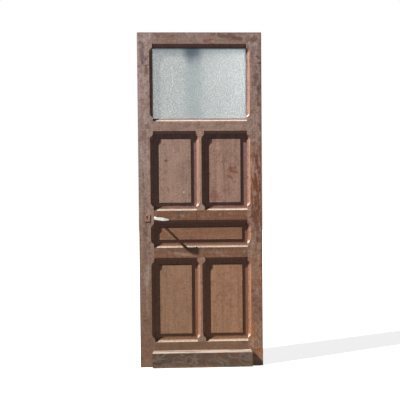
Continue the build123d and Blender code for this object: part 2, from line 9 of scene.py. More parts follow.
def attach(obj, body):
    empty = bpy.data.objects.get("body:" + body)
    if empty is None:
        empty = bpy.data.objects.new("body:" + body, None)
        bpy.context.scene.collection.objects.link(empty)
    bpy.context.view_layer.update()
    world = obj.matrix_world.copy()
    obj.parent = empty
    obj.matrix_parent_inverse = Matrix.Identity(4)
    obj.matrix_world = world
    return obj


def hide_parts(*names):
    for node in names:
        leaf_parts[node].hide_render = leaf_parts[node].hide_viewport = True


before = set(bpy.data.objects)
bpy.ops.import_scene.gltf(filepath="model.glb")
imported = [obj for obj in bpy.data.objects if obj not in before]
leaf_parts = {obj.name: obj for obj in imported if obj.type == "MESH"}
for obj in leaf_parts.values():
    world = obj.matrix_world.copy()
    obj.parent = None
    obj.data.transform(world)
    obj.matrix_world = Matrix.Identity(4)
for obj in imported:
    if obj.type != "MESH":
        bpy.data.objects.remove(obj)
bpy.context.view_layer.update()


# ---- Stiles ----
# The two uprights are straight boards of softwood, 90 mm wide, with the moulding worked on their inner edges. They
# were stained brown and varnished by hand long ago: the weather has greyed the top, left wiped strokes standing
# dark, and rust has run down the hinge stile. The rails' tenons are glued into them.


class Wire:
    """One output of a material's node. Sums, differences and products of wires add their own nodes."""

    def __init__(self, finish, socket):
        self.finish = finish
        self.socket = socket

    def reckon(self, operation, *values):
        return self.finish.node("ShaderNodeMath", {"operation": operation}, dict(enumerate(values)))

    def __add__(self, other):
        return self.reckon("ADD", self, other)

    def __radd__(self, other):
        return self.reckon("ADD", other, self)

    def __sub__(self, other):
        return self.reckon("SUBTRACT", self, other)

    def __rsub__(self, other):
        return self.reckon("SUBTRACT", other, self)

    def __mul__(self, other):
        return self.reckon("MULTIPLY", self, other)

    def __rmul__(self, other):
        return self.reckon("MULTIPLY", other, self)

    def __truediv__(self, other):
        return self.reckon("DIVIDE", self, other)

    def __pow__(self, other):
        return self.reckon("POWER", self, other)

    def __abs__(self):
        return self.reckon("ABSOLUTE", self)


class Finish:
    """A material that is built up node by node on the shader of one finish."""

    def __init__(self, name):
        self.material = bpy.data.materials.new(name)
        self.material.use_nodes = True
        self.tree = self.material.node_tree
        self.shader = self.tree.nodes["Principled BSDF"]
        self.place = self.node("ShaderNodeTexCoord", output="Object")
        self.facing = self.node("ShaderNodeTexCoord", output="Normal")
        self.x, self.y, self.z = self.parts(self.place)

    def node(self, kind, settings=None, inputs=None, output=0):
        """Add a node: first its settings, then the values or wires of its inputs."""
        node = self.tree.nodes.new(kind)
        for name, value in (settings or {}).items():
            if name == "stops":
                stops = node.color_ramp.elements
                while len(stops) < len(value):
                    stops.new(0.5)
                for stop, (position, colour) in zip(stops, value):
                    stop.position = position
                    stop.color = colour
            else:
                setattr(node, name, value)
        for name, value in (inputs or {}).items():
            self.put(node.inputs[name], value)
        return Wire(self, node.outputs[output])

    def put(self, socket, value):
        if isinstance(value, Wire):
            self.tree.links.new(value.socket, socket)
        elif socket.type == "VECTOR":
            socket.default_value = value[:3]
        else:
            socket.default_value = value

    def set(self, **sockets):
        for name, value in sockets.items():
            self.put(self.shader.inputs[name.replace("_", " ")], value)

    def parts(self, vector):
        split = self.node("ShaderNodeSeparateXYZ", {}, {0: vector}).socket.node
        return [Wire(self, split.outputs[i]) for i in range(3)]

    def stretched(self, scale, shift=(0, 0, 0)):
        """The place on the object, stretched and shifted for a pattern."""
        moved = self.node("ShaderNodeVectorMath", {"operation": "ADD"}, {0: self.place, 1: shift})
        return self.node("ShaderNodeVectorMath", {"operation": "MULTIPLY"}, {0: moved, 1: scale})

    def noise(self, vector, scale, detail, roughness=0.5, distortion=0.0):
        return self.node("ShaderNodeTexNoise", {}, {
            "Vector": vector,
            "Scale": scale,
            "Detail": detail,
            "Roughness": roughness,
            "Distortion": distortion,
        })

    def rise(self, value, low, high):
        """0 below low and 1 above high, eased between; with low above high it falls instead."""
        inputs = {"Value": value, "From Min": low, "From Max": high}
        return self.node("ShaderNodeMapRange", {"interpolation_type": "SMOOTHSTEP"}, inputs)

    def mix(self, mask, under, over):
        return self.node("ShaderNodeMix", {"data_type": "RGBA"}, {0: mask, 6: under, 7: over}, output=2)

    def dim(self, colour, amount):
        return self.node("ShaderNodeVectorMath", {"operation": "SCALE"}, {0: colour, "Scale": amount})

    def blot(self, ragged, at, half, turn=0.0, soft=0.3):
        """A patch at (x, z) with its half sizes, turned by some degrees. Its outline is made ragged by a noise."""
        c, s = math.cos(math.radians(turn)), math.sin(math.radians(turn))
        across, up = self.x - at[0], self.z - at[1]
        u = (across * c + up * s) / half[0]
        v = (up * c - across * s) / half[1]
        away = (u * u + v * v) ** 0.5 + (ragged - 0.5) * 2.4
        return self.rise(away, 1.0 + soft, 1.0 - soft)

    def arc(self, ragged, at, radius, width, middle, half):
        """A curved stroke: part of a ring round (x, z), kept only inside a blot."""
        away = ((self.x - at[0]) ** 2.0 + (self.z - at[1]) ** 2.0) ** 0.5 + (ragged - 0.5) * (radius * 1.1)
        return self.rise(abs(away - radius), width, width * 0.45) * self.blot(ragged, middle, half)

    def bump(self, height, strength, depth):
        return self.node("ShaderNodeBump", {}, {"Strength": strength, "Distance": depth, "Height": height})


def paint(red, green, blue):
    """A colour from its 0 to 255 screen values."""
    def light(value):
        value /= 255
        return value / 12.92 if value <= 0.04045 else ((value + 0.055) / 1.055) ** 2.4
    return light(red), light(green), light(blue), 1.0


MAUVE = paint(86, 62, 64)
UMBER = paint(88, 60, 46)
RUST = paint(142, 84, 48)
DUST = paint(176, 164, 152)
# The next colour is soot and dirt, and it is also used for painted shade and painted shadow.
SOOT_AND_SHADE = paint(38, 28, 26)

LEAF_WIDTH = 0.750
LEAF_HEIGHT = 2.030
LEAF_FACE = 0.0210  # the faces of the frame, from the middle of the leaf
FIELD_FACE = 0.0093  # the flat fields of the panels, from there too


def dress(part, finish):
    """Give a CAD piece its material."""
    for slot in leaf_parts[part].material_slots:
        slot.material = finish.material


def stain(part, grain, seed, foot, top, weather=1.0, marks=()):
    """Dress a piece in stained timber, with its grain along Z or X and its colours at the door's foot and top."""
    finish = Finish(f"{part}_timber")
    shift = (seed * 1.37, seed * 0.71, seed * 2.13)
    along = (1.0, 1.0, 0.03) if grain == "Z" else (0.03, 1.0, 1.0)
    fibre = finish.noise(finish.stretched(along, shift), 620.0, 3.0, 0.6)
    streak = finish.noise(finish.stretched(along, shift), 105.0, 3.0, 0.55, 0.4)
    board = finish.noise(finish.stretched(along, shift), 22.0, 2.0, 0.5, 0.8)
    cloud = finish.noise(finish.stretched((1, 1, 1), shift), 13.0, 6.0, 0.62, 0.3)
    blotch = finish.noise(finish.stretched((1, 1, 0.7), shift), 34.0, 5.0, 0.66, 0.5)
    grit = finish.noise(finish.stretched((1, 1, 1), shift), 120.0, 3.0, 0.7)
    speck = finish.noise(finish.stretched((1, 1, 1), shift), 240.0, 2.0, 0.6)
    height = finish.rise(finish.z, 0.0, 2.0)
    colour = finish.mix(height, foot, top)
    lines = (streak - 0.5) * (0.3 + 0.5 * weather) + (fibre - 0.5) * 0.5 + (board - 0.5) * 0.6
    shade = 1.0 + lines + (grit - 0.5) * (0.8 + 1.1 * weather)
    worn_warm = finish.rise(cloud, 0.52, 0.62) * (0.5 * weather)
    colour = finish.mix(worn_warm, colour, paint(112, 76, 58))
    grey = finish.rise(blotch, 0.55, 0.66) * (0.42 * weather)
    colour = finish.mix(grey, colour, finish.mix(height, paint(140, 114, 96), paint(162, 147, 138)))
    smut = finish.rise(blotch, 0.45, 0.36) * (0.6 * weather)
    colour = finish.mix(smut, colour, finish.mix(height, paint(84, 58, 44), paint(92, 66, 62)))

    # Painted shade: the panels' sunk ground and the bevels up to their fields lie in shade and are painted darker,
    # browner towards the foot
    depth = abs(finish.y)
    painted_deep_shade = finish.rise(depth, FIELD_FACE - 0.0003, FIELD_FACE - 0.0015) * finish.rise(depth, 0.0, 0.002)
    colour = finish.mix(painted_deep_shade * 0.6, colour, finish.mix(height, paint(100, 59, 33), paint(104, 76, 84)))

    # The moulding's slopes are painted warm and dark, partly for their warmer varnish and partly as painted shade.
    # The slopes that face the key lamp get a darker painted shade, the upward-facing slopes a painted highlight,
    # the arris is rubbed pale, and a painted shade line runs along the moulding's foot
    toward_x, toward_y, toward_z = finish.parts(finish.facing)
    near, far = 0.0003, 0.0010  # from an outer edge
    inside = finish.rise(finish.x, near - LEAF_WIDTH, far - LEAF_WIDTH) * finish.rise(finish.x, -near, -far)
    inside = inside * finish.rise(finish.z, LEAF_HEIGHT - near, LEAF_HEIGHT - far)
    sloped = finish.rise(abs(toward_y), 0.97, 0.85) * finish.rise(depth, 0.002, 0.004) * inside
    # Painted shade, partly the warmer varnish: every slope of the moulding is made darker and warmer
    colour = finish.mix(sloped * 0.85, colour, finish.mix(height, paint(116, 72, 46), paint(120, 84, 70)))
    # Painted shade: the slopes that face the key lamp are painted darker, to hold down their light
    painted_lamp_side_shade = sloped * finish.rise(toward_x, -0.3, -0.6)
    colour = finish.mix(painted_lamp_side_shade * 0.75, colour, finish.mix(height, paint(110, 70, 47), paint(106, 73, 55)))
    # Painted highlight: the upward-facing slopes are painted pale cream
    painted_ledge_highlight = sloped * finish.rise(toward_z, 0.3, 0.6)
    colour = finish.mix(painted_ledge_highlight * 0.95, colour, finish.mix(height, paint(122, 107, 92), paint(150, 143, 133)))
    arris = sloped * finish.rise(depth, LEAF_FACE - 0.0022, LEAF_FACE - 0.0014) * finish.rise(cloud, 0.35, 0.5)
    colour = finish.mix(arris * 0.4, colour, DUST)
    # Painted shade: a dark line in the crevice where the moulding meets the ground
    painted_quirk_shade = sloped * finish.rise(depth, FIELD_FACE + 0.0012, FIELD_FACE - 0.0008)
    colour = finish.mix(painted_quirk_shade * 0.6, colour, SOOT_AND_SHADE)

    # The outer edges and the top are dark with handling and dirt
    edge = finish.mix(finish.rise(cloud, 0.44, 0.58), paint(72, 50, 40), paint(96, 72, 58))
    colour = finish.dim(finish.mix(1.0 - inside, colour, edge), shade)

    # Marks lie on the flat front of the frame and of the panels' fields
    front = finish.rise(finish.y, 0.0005 - FIELD_FACE, 0.0002 - FIELD_FACE) * finish.rise(toward_y, -0.95, -0.98)
    for mark, tint, amount in marks:
        colour = finish.mix(mark(finish, blotch) * front * amount, colour, finish.dim(tint, shade))
    dots = finish.rise(speck, 0.70, 0.76) * 0.55
    colour = finish.mix(dots, colour, SOOT_AND_SHADE)
    chips = finish.rise(speck, 0.26, 0.21) * 0.5 * finish.rise(cloud, 0.5, 0.6)
    colour = finish.mix(chips, colour, DUST)

    relief = fibre * 0.5 + streak * 0.6 + blotch * 0.5 + grit * 0.6 - dots * 0.8
    finish.set(
        Base_Color=colour,
        Roughness=0.52 + (cloud - 0.5) * 0.5 + grey * 0.3,
        Normal=finish.bump(relief, 0.45, 0.0006),
        Coat_Weight=finish.rise(cloud, 0.45, 0.65) * 0.06,
        Specular_IOR_Level=0.22,
    )
    dress(part, finish)


def patch(at, half, turn=0.0, soft=0.35):
    """A mark: a ragged patch of stain at (x, z)."""
    return lambda finish, noise: finish.blot(noise, at, half, turn, soft)


def run(at, half, seed):
    """A mark: brown that has run down the grain in streaks, inside a patch."""
    def mask(finish, noise):
        streaks = finish.noise(finish.stretched((1, 1, 0.14), (seed, seed, seed)), 75.0, 4.0, 0.65, 0.6)
        return finish.rise(streaks, 0.46, 0.54) * finish.blot(noise, at, half, 0.0, 0.5)
    return mask


def wipe(at, radius, width, middle, half):
    """A mark: the curved stroke of a brush or a cloth."""
    return lambda finish, noise: finish.arc(noise, at, radius, width, middle, half)


stain("lock_stile", "Z", 1.0, paint(115, 87, 70), paint(153, 130, 122), marks=[
    (patch((-0.718, 1.905), (0.016, 0.060), 8), MAUVE, 0.62),
    (wipe((-0.775, 1.800), 0.075, 0.007, (-0.712, 1.825), (0.025, 0.045)), MAUVE, 0.6),
    (wipe((-0.790, 1.760), 0.105, 0.006, (-0.700, 1.800), (0.022, 0.050)), MAUVE, 0.5),
    (patch((-0.698, 1.800), (0.010, 0.035), -10), UMBER, 0.45),
    (patch((-0.737, 1.969), (0.0016, 0.011), 40, 0.2), SOOT_AND_SHADE, 0.9),
    (patch((-0.720, 1.990), (0.012, 0.010)), DUST, 0.4),
    (patch((-0.713, 1.523), (0.006, 0.022), 5), DUST, 0.45),
    (patch((-0.696, 1.465), (0.016, 0.018)), UMBER, 0.5),
    (patch((-0.700, 1.425), (0.014, 0.010)), UMBER, 0.35),
    (patch((-0.728, 1.300), (0.010, 0.050), 12), DUST, 0.25),
    # Painted shadow of the keyhole plate, along its right and lower edges
    (patch((-0.6800, 0.912), (0.0032, 0.024), 0, 0.2), SOOT_AND_SHADE, 0.85),
    (patch((-0.6960, 0.8885), (0.018, 0.0034), 0, 0.2), SOOT_AND_SHADE, 0.85),
    (patch((-0.712, 0.835), (0.014, 0.022), 30), UMBER, 0.45),
    (patch((-0.705, 0.560), (0.016, 0.070), -6), DUST, 0.22),
    (patch((-0.742, 0.058), (0.003, 0.014), 24, 0.2), SOOT_AND_SHADE, 0.8),
])

stain("hinge_stile", "Z", 4.0, paint(136, 101, 78), paint(145, 121, 112), 1.35, marks=[
    (patch((-0.002, 1.100), (0.011, 1.200), 0, 0.25), UMBER, 0.55),
    (patch((-0.018, 1.880), (0.016, 0.010), -18), SOOT_AND_SHADE, 0.62),
    (patch((-0.012, 1.846), (0.018, 0.007), 10), SOOT_AND_SHADE, 0.65),
    (patch((-0.034, 1.760), (0.018, 0.034), 10), MAUVE, 0.75),
    (patch((-0.016, 1.690), (0.016, 0.024), -12), MAUVE, 0.75),
    (patch((-0.045, 1.985), (0.024, 0.018), 20), UMBER, 0.65),
    (patch((-0.024, 1.640), (0.012, 0.030), 8), UMBER, 0.55),
    (run((-0.036, 1.130), (0.046, 0.230), 3), paint(104, 60, 38), 1.0),
    (run((-0.030, 0.930), (0.036, 0.130), 7), paint(98, 58, 40), 0.9),
    (run((-0.044, 0.480), (0.036, 0.300), 5), paint(116, 74, 52), 0.35),
    (run((-0.060, 1.800), (0.050, 0.200), 11), MAUVE, 0.25),
    (wipe((0.014, 0.560), 0.048, 0.004, (-0.026, 0.545), (0.020, 0.055)), RUST, 0.75),
    (patch((-0.014, 0.505), (0.014, 0.005), -32, 0.25), RUST, 0.8),
    (patch((-0.004, 0.390), (0.004, 0.045)), RUST, 0.7),
    (patch((-0.060, 0.235), (0.014, 0.016), 30), RUST, 0.65),
    (patch((-0.066, 0.188), (0.018, 0.014), -20), RUST, 0.6),
    (patch((-0.020, 0.098), (0.018, 0.018), 20), RUST, 0.7),
    (wipe((-0.044, 0.135), 0.026, 0.006, (-0.044, 0.135), (0.036, 0.030)), DUST, 0.22),
])


# ---- Rails ----
# Five boards tenoned between the stiles, with their grain lying across the door and the same moulding on the edges
# that face a panel or the glass. The top rail has kept dark strokes of varnish near its right end, the lock rail
# has old screw holes beside the handle, and the bottom rail is the darkest.

stain("top_rail", "X", 7.0, paint(128, 103, 91), paint(131, 107, 96), 0.9, marks=[
    (patch((-0.200, 2.004), (0.090, 0.013), -9), UMBER, 0.62),
    (wipe((-0.260, 1.780), 0.246, 0.008, (-0.150, 2.000), (0.080, 0.030)), UMBER, 0.6),
    (patch((-0.325, 1.982), (0.036, 0.008), 14), paint(122, 74, 56), 0.7),
    (patch((-0.292, 1.976), (0.006, 0.003), 10, 0.2), paint(196, 150, 84), 0.8),
    (patch((-0.663, 1.995), (0.002, 0.030), 0, 0.2), DUST, 0.7),
])
stain("frieze_rail", "X", 9.0, paint(140, 112, 98), paint(150, 123, 109), 0.75, marks=[
    (patch((-0.520, 1.462), (0.060, 0.012), 4), paint(140, 104, 92), 0.4),
])
stain("lock_rail", "X", 12.0, paint(116, 80, 59), paint(118, 82, 63), 1.1, marks=[
    (patch((-0.495, 0.948), (0.052, 0.024), -8), paint(92, 72, 60), 0.6),
    (patch((-0.380, 0.960), (0.020, 0.020)), UMBER, 0.4),
    (patch((-0.401, 0.930), (0.0016, 0.045), 0, 0.15), SOOT_AND_SHADE, 0.7),
    (patch((-0.664, 0.934), (0.003, 0.003), 0, 0.2), SOOT_AND_SHADE, 0.7),
    (patch((-0.648, 0.936), (0.003, 0.003), 0, 0.2), SOOT_AND_SHADE, 0.7),
    (patch((-0.633, 0.930), (0.004, 0.004), 0, 0.2), SOOT_AND_SHADE, 0.95),
    (patch((-0.618, 0.935), (0.003, 0.003), 0, 0.2), SOOT_AND_SHADE, 0.7),
])
stain("middle_rail", "X", 15.0, paint(110, 78, 58), paint(112, 80, 62), 1.0, marks=[
    (patch((-0.490, 0.690), (0.060, 0.008), -10), DUST, 0.22),
    (patch((-0.220, 0.690), (0.060, 0.018), 5), paint(128, 86, 66), 0.4),
    (patch((-0.112, 0.703), (0.003, 0.003), 0, 0.2), DUST, 0.9),
    (patch((-0.608, 0.676), (0.0016, 0.010), -35, 0.2), SOOT_AND_SHADE, 0.7),
])
stain("bottom_rail", "X", 18.0, paint(105, 78, 59), paint(110, 84, 65), 0.8, marks=[
    (wipe((-0.100, 0.168), 0.028, 0.004, (-0.116, 0.143), (0.020, 0.010)), SOOT_AND_SHADE, 0.6),
    (patch((-0.400, 0.135), (0.030, 0.008)), UMBER, 0.3),
])


# ---- Muntins ----
# Short uprights, 50 mm wide, that part the paired panels. They are stub-tenoned into the rails above and below, and
# carry the moulding on both sides with the same stopped ends.

stain("upper_muntin", "Z", 21.0, paint(146, 117, 102), paint(150, 121, 107), 0.7, marks=[
    (patch((-0.414, 1.158), (0.003, 0.004), 0, 0.2), SOOT_AND_SHADE, 0.7),
])
stain("lower_muntin", "Z", 24.0, paint(136, 107, 90), paint(140, 110, 94), 0.7)


# ---- Panels ----
# Five boards, each thinned to a tongue all round and raised to a plain flat field. They sit loose in the grooves of
# the frame, so that they can move with the weather, and keep a smoother, browner coat than the frame.

stain("upper_left_panel", "Z", 31.0, paint(144, 114, 98), paint(152, 124, 110), 0.6, marks=[
    (patch((-0.476, 1.069), (0.006, 0.006), 0, 0.3), DUST, 0.8),
    (patch((-0.494, 1.180), (0.040, 0.060), 10), paint(122, 98, 86), 0.35),
    (patch((-0.585, 1.260), (0.010, 0.006), 20, 0.3), UMBER, 0.6),
])
stain("upper_right_panel", "Z", 34.0, paint(142, 110, 94), paint(149, 118, 104), 0.55, marks=[
    (patch((-0.178, 1.213), (0.020, 0.006), 4), paint(118, 68, 50), 0.7),
    (patch((-0.187, 1.200), (0.008, 0.015), 10), paint(118, 68, 50), 0.65),
    (patch((-0.166, 1.190), (0.022, 0.008), -20), paint(118, 66, 48), 0.75),
    (patch((-0.150, 1.186), (0.009, 0.010)), paint(118, 70, 54), 0.5),
    (patch((-0.196, 1.160), (0.023, 0.010), -30), paint(118, 68, 50), 0.65),
    (patch((-0.166, 1.128), (0.008, 0.006)), paint(118, 70, 54), 0.5),
    (patch((-0.293, 1.046), (0.030, 0.038), 10), paint(124, 78, 60), 0.5),
    (patch((-0.318, 1.180), (0.010, 0.004), -20, 0.25), UMBER, 0.6),
])
stain("lock_panel", "X", 37.0, paint(125, 88, 66), paint(127, 91, 70), 0.6)
stain("lower_left_panel", "Z", 40.0, paint(136, 102, 79), paint(146, 112, 90), 0.55, marks=[
    (patch((-0.482, 0.479), (0.018, 0.0016), 22, 0.2), SOOT_AND_SHADE, 0.7),
    (patch((-0.524, 0.512), (0.003, 0.014), 24, 0.25), paint(126, 74, 50), 0.8),
    (patch((-0.514, 0.520), (0.003, 0.016), -28, 0.25), paint(126, 74, 50), 0.7),
])
stain("lower_right_panel", "Z", 43.0, paint(142, 104, 79), paint(148, 110, 87), 0.55)


# ---- Light ----
# One sheet of patterned, obscured glass in the rebate behind the moulding, held from the back by four small beads
# that are mitred at the corners. The glass is grey-green and dusty, with the fine pebbled face outwards.

glass = Finish("patterned_glass")
pebble = glass.node(
    "ShaderNodeTexVoronoi",
    {"feature": "SMOOTH_F1"},
    {"Vector": glass.stretched((1, 1, 1)), "Scale": 215.0, "Smoothness": 0.35, "Randomness": 0.9},
)
ripple = glass.noise(glass.stretched((1, 1, 1)), 260.0, 2.0, 0.5, 0.6)
# Painted shade on the glass: a dark upright band, and a darker patch at its top, stand in for dark things seen
# through the glass, and a band under the top rail is painted darker as shade
band_outline_noise = glass.noise(glass.stretched((1, 1, 0.45)), 7.0, 4.0, 0.55)
painted_dark_band = glass.blot(band_outline_noise, (-0.420, 1.700), (0.052, 0.50), soft=0.7)
painted_dark_top = glass.blot(band_outline_noise, (-0.425, 1.950), (0.044, 0.085), soft=0.7)
painted_top_shade = glass.rise(glass.z, 1.890, 1.935)
hollow = glass.rise(pebble * 0.7 + ripple * 0.5, 0.40, 0.62)
tint = glass.mix(hollow, paint(250, 251, 248), paint(158, 164, 164))
tint = glass.mix(painted_dark_band * 0.42, tint, paint(134, 146, 149))
tint = glass.mix(painted_top_shade * 0.6, tint, paint(138, 152, 160))
tint = glass.mix(painted_dark_top * 0.9, tint, paint(72, 88, 102))
glass.set(
    Base_Color=tint,
    Roughness=0.42,
    IOR=1.45,
    Transmission_Weight=0.86,
    Normal=glass.bump(ripple * 0.6 + (1.0 - pebble), 0.9, 0.0011),
)
dress("glass_pane", glass)

for number, side in enumerate(("top", "bottom", "left", "right")):
    grain = "X" if side in ("top", "bottom") else "Z"
    seed = 50.0 + 3 * number
    stain(f"glazing_bead_{side}", grain, seed, paint(132, 106, 92), paint(136, 110, 96), 0.7)


# ---- Weatherboard ----
# A bevelled board, nailed across the foot of the door's face to throw the rain clear. It takes the worst of the
# weather: its varnish is black-brown with pale swirls where it was wiped, and its upper edge is bleached.

weatherboard = Finish("weatherboard_timber")
fibre = weatherboard.noise(weatherboard.stretched((0.03, 1, 1), (3, 1, 2)), 620.0, 3.0, 0.6)
streak = weatherboard.noise(weatherboard.stretched((0.05, 1, 1), (3, 1, 2)), 90.0, 4.0, 0.6, 0.5)
cloud = weatherboard.noise(weatherboard.stretched((1, 1, 1.6), (5, 2, 8)), 11.0, 6.0, 0.62, 1.6)
swirl = weatherboard.noise(weatherboard.stretched((0.7, 1, 1.2), (1, 7, 3)), 9.0, 3.0, 0.5, 2.4)
upward = weatherboard.parts(weatherboard.facing)[2]
shade = 1.0 + (streak - 0.5) * 0.4 + (fibre - 0.5) * 0.3
colour = weatherboard.mix(weatherboard.rise(weatherboard.x, -0.68, -0.5), paint(70, 54, 42), paint(85, 65, 52))
colour = weatherboard.mix(weatherboard.rise(cloud, 0.45, 0.7), colour, paint(98, 72, 56))
colour = weatherboard.mix(weatherboard.rise(cloud, 0.47, 0.38) * 0.6, colour, paint(58, 47, 40))
wiped = weatherboard.rise(swirl, 0.52, 0.56) * weatherboard.rise(swirl, 0.66, 0.59)
colour = weatherboard.mix(wiped * 0.5, colour, paint(116, 104, 95))
ring_strokes = (
    ((-0.520, 0.040), 0.030),
    ((-0.455, 0.050), 0.022),
    ((-0.445, 0.030), 0.034),
    ((-0.300, 0.020), 0.050),
    ((-0.250, 0.075), 0.045),
)
for middle, radius in ring_strokes:
    ring = weatherboard.arc(cloud, middle, radius, 0.005, middle, (radius * 1.4, radius * 1.1))
    colour = weatherboard.mix(ring * 0.3, colour, paint(122, 110, 100))
colour = weatherboard.dim(colour, shade)
bleach = weatherboard.rise(upward, 0.25, 0.6)
scored = weatherboard.rise(streak, 0.4, 0.6)
colour = weatherboard.mix(bleach * 0.92, colour, weatherboard.mix(scored, paint(94, 80, 69), paint(128, 114, 103)))
worn = weatherboard.rise(weatherboard.z, 0.018, 0.010) * weatherboard.rise(cloud, 0.44, 0.56)
colour = weatherboard.mix(worn * 0.7, colour, paint(134, 100, 72))
weatherboard.set(
    Base_Color=colour,
    Roughness=0.6 + (cloud - 0.5) * 0.4,
    Normal=weatherboard.bump(streak * 0.8 + fibre * 0.5 + cloud * 0.5, 0.5, 0.0008),
    Specular_IOR_Level=0.2,
)
dress("weatherboard", weatherboard)


def round_head(name, radius, depth, crown):
    """A round head whose top lies at the origin and faces +Z, inset and crowned."""
    bpy.ops.object.select_all(action="DESELECT")
    bpy.ops.mesh.primitive_cylinder_add(vertices=20, radius=radius, depth=depth, location=(0, 0, -depth / 2))
    head = bpy.context.object
    head.name = name
    bpy.ops.object.transform_apply(location=True)
    bpy.ops.object.mode_set(mode="EDIT")
    bpy.ops.mesh.select_all(action="DESELECT")
    bpy.ops.object.mode_set(mode="OBJECT")
    for face in head.data.polygons:
        face.select = face.normal.z > 0.9
    bpy.ops.object.mode_set(mode="EDIT")
    for ring_width, lift in ((0.3, 0.7), (0.35, 0.3)):
        bpy.ops.mesh.inset(thickness=radius * ring_width)
        bpy.ops.transform.translate(value=(0, 0, crown * lift))
    bpy.ops.object.mode_set(mode="OBJECT")
    bpy.ops.object.shade_smooth_by_angle(angle=math.radians(50))
    return head


def fix(pattern, name, places, outward, finish):
    """Copies of a head at some places, each facing outward, on the leaf."""
    turn = Vector(outward).to_track_quat("Z", "Y").to_matrix().to_4x4()
    for number, place in enumerate(places, 1):
        head = bpy.data.objects.new(f"{name}_{number}", pattern.data.copy())
        bpy.context.collection.objects.link(head)
        head.data.transform(Matrix.Translation(place) @ turn)
        head.data.materials.clear()
        head.data.materials.append(finish.material)
        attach(head, "leaf")
    bpy.data.objects.remove(pattern)


nail_iron = Finish("nail_iron")
scale = nail_iron.noise(nail_iron.stretched((1, 1, 1)), 900.0, 4.0, 0.6)
nail_iron.set(
    Base_Color=nail_iron.mix(nail_iron.rise(scale, 0.42, 0.6), paint(58, 44, 36), paint(112, 70, 46)),
    Metallic=0.35,
    Roughness=0.6 + (scale - 0.5) * 0.4,
    Normal=nail_iron.bump(scale, 0.5, 0.0002),
)
FIRST_NAIL = -0.655
NAIL_PITCH = 0.0945
NAIL_TOP = -0.0412
NAIL_LEVEL = 0.054
NAIL_STAGGER = 0.006
board_nails = [
    (FIRST_NAIL + NAIL_PITCH * step, NAIL_TOP, NAIL_LEVEL + NAIL_STAGGER * (step % 2)) for step in range(7)
]
nail = round_head("board_nail", radius=0.0021, depth=0.002, crown=0.0001)
fix(nail, "weatherboard_nail", board_nails, (0, -1, 0), nail_iron)


# ---- Lock ----
# A steel mortise lock let into the edge, with its forend screwed flush to the timber and both bolts drawn in. A
# small steel plate surrounds the keyhole on each face: both are painted over with the door's brown stain and worn.

lock_steel = Finish("lock_steel")
pitting = lock_steel.noise(lock_steel.stretched((1, 1, 1)), 320.0, 5.0, 0.65)
bloom = lock_steel.noise(lock_steel.stretched((1, 1, 1), (2, 5, 1)), 60.0, 5.0, 0.6)
rusted = lock_steel.rise(bloom, 0.46, 0.62)
rust = lock_steel.mix(pitting, paint(96, 56, 34), paint(128, 78, 46))
colour = lock_steel.mix(rusted, paint(122, 116, 110), rust)
lock_steel.set(
    Base_Color=colour,
    Metallic=0.9 - rusted * 0.8,
    Roughness=0.42 + rusted * 0.4,
    Normal=lock_steel.bump(pitting, 0.3, 0.0003),
)
for part in ("lock_case", "lock_forend", "latch_bolt", "dead_bolt", "spindle"):
    dress(part, lock_steel)

plate_steel = Finish("plate_steel")
flake = plate_steel.noise(plate_steel.stretched((1, 1, 1), (4, 4, 4)), 150.0, 5.0, 0.6)
rubbed = plate_steel.rise(flake, 0.56, 0.66)
colour = plate_steel.mix(plate_steel.rise(flake, 0.4, 0.6), paint(126, 96, 78), paint(158, 126, 104))
colour = plate_steel.mix(rubbed * 0.6, colour, paint(128, 84, 56))
plate_steel.set(
    Base_Color=colour,
    Metallic=0.1,
    Roughness=0.5 + rubbed * 0.25,
    Specular_IOR_Level=0.25,
    Normal=plate_steel.bump(flake, 0.35, 0.0003),
)
for part in ("front_escutcheon", "back_escutcheon"):
    dress(part, plate_steel)

PLATE_MIDDLE = -0.698
PIN_TOP = 0.02275
for side, face in (("front", -1), ("back", 1)):
    plate_pins = [(PLATE_MIDDLE, face * PIN_TOP, level) for level in (0.8953, 0.9327)]
    pin = round_head("plate_pin", radius=0.0014, depth=0.001, crown=0.0004)
    fix(pin, f"{side}_plate_pin", plate_pins, (0, face, 0), lock_steel)


SCREW_RADIUS = 0.0035
SLOT_WIDTH = 0.0009
SLOT_TURN = math.radians(24)


def slotted_head(name):
    """A countersunk screw's head with its slot cut across it."""
    head = round_head(name, SCREW_RADIUS, depth=0.0012, crown=0.0001)
    bpy.ops.object.select_all(action="DESELECT")
    bpy.ops.mesh.primitive_cube_add(size=1, scale=(SCREW_RADIUS * 2.6, SLOT_WIDTH, 0.0012))
    cutter = bpy.context.object
    bpy.ops.object.select_all(action="DESELECT")
    head.select_set(True)
    bpy.context.view_layer.objects.active = head
    cut = head.modifiers.new("slot", "BOOLEAN")
    cut.object = cutter
    bpy.ops.object.modifier_apply(modifier="slot")
    bpy.data.objects.remove(cutter)
    head.data.transform(Matrix.Rotation(SLOT_TURN, 4, "Z"))
    return head


SCREW_SINK = 0.0003
FOREND_MIDDLE = 0.922
forend_screws = [(SCREW_SINK - LEAF_WIDTH, 0, FOREND_MIDDLE + step) for step in (-0.052, 0.052)]
fix(slotted_head("forend_screw"), "forend_screw", forend_screws, (-1, 0, 0), lock_steel)


# ---- Handle ----
# A pair of cast aluminium levers on one square spindle, polished by the hand. Each grows out of a round neck and
# curls towards its tip; the lower side of the grip and the end of the tip are painted grey as painted shade.

lever_metal = Finish("lever_aluminium")
scuff = lever_metal.noise(lever_metal.stretched((1, 1, 3)), 420.0, 4.0, 0.6)
haze = lever_metal.noise(lever_metal.stretched((1, 1, 1), (6, 1, 1)), 55.0, 4.0, 0.55)
